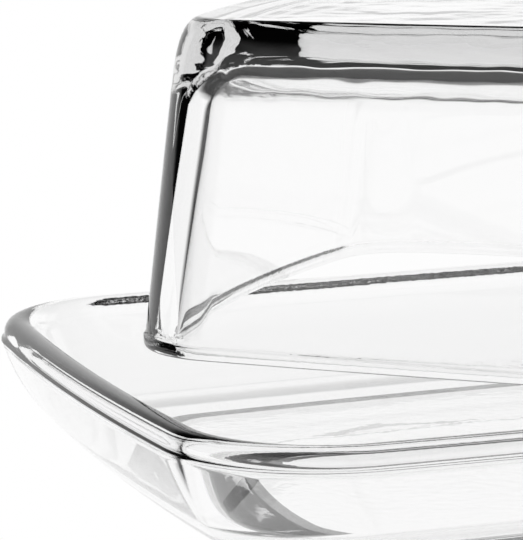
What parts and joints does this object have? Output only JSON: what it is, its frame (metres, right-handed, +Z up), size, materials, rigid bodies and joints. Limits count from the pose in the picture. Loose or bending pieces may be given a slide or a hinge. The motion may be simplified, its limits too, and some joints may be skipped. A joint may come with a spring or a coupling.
{
  "type": "butter dish",
  "caption": "Clear pressed-glass butter dish: a low tray with a thick bowed rim and a loose deep box-shaped cover that lies turned across the tray.",
  "frame": {"origin": "middle of the tray's flat underside, on the plane it stands on", "axes": "+X along the tray, +Y across it, +Z up"},
  "size_m": [0.19, 0.1622, 0.0732],
  "materials": {
    "dish_glass": "polished",
    "lid_glass": "polished"
  },
  "bodies": {
    "dish": {"dish": "dish_glass"},
    "lid": {"lid": "lid_glass"}
  },
  "joints": [
    {"name": "lid_lift", "type": "slide", "parent": "dish", "child": "lid", "axis": [0, 0, 1], "range_m": [0, 0.1]}
  ]
}
